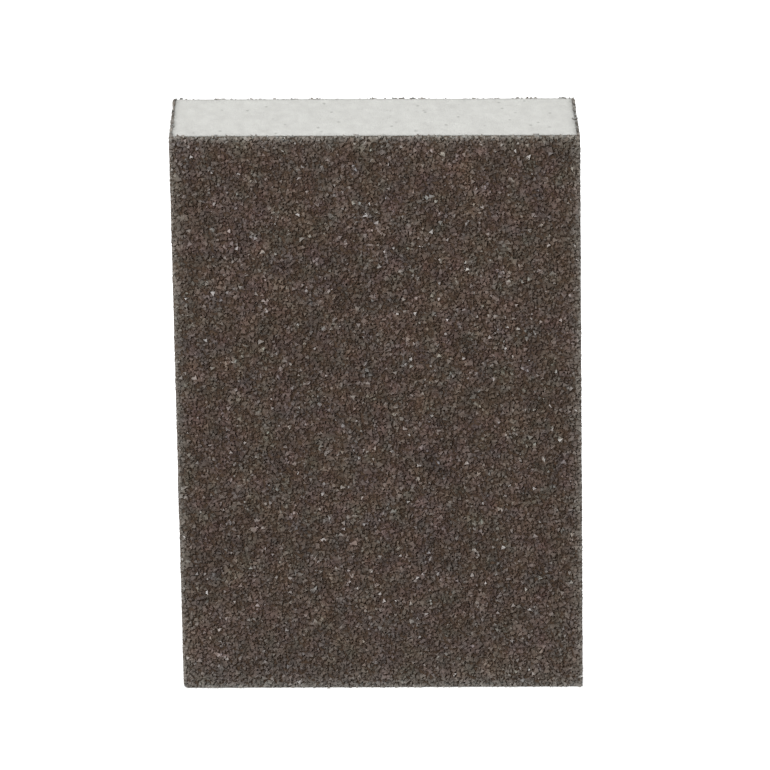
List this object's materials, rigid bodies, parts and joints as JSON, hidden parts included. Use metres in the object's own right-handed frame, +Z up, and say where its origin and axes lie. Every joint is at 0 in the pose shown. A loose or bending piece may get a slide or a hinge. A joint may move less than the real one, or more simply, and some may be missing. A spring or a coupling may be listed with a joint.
{
  "type": "sanding block",
  "caption": "Rectangular hand sanding block: a soft pale foam core with coarse brown abrasive grit on its long faces and bare foam at both cut ends.",
  "frame": {"origin": "centre of the lower cut end, which the block stands on", "axes": "+Z up the block's length, +Y through its thickness from the front wide face to the back one, +X across the wide faces"},
  "size_m": [0.07, 0.026, 0.1],
  "materials": {
    "foam": "matte",
    "bond_resin": "matte",
    "abrasive_grit": "matte"
  },
  "bodies": {
    "root": {"foam_core": "foam", "front_make_coat": "bond_resin", "back_make_coat": "bond_resin", "left_make_coat": "bond_resin", "right_make_coat": "bond_resin", "front_grit_coat": "abrasive_grit", "back_grit_coat": "abrasive_grit", "left_grit_coat": "abrasive_grit", "right_grit_coat": "abrasive_grit"}
  },
  "joints": []
}
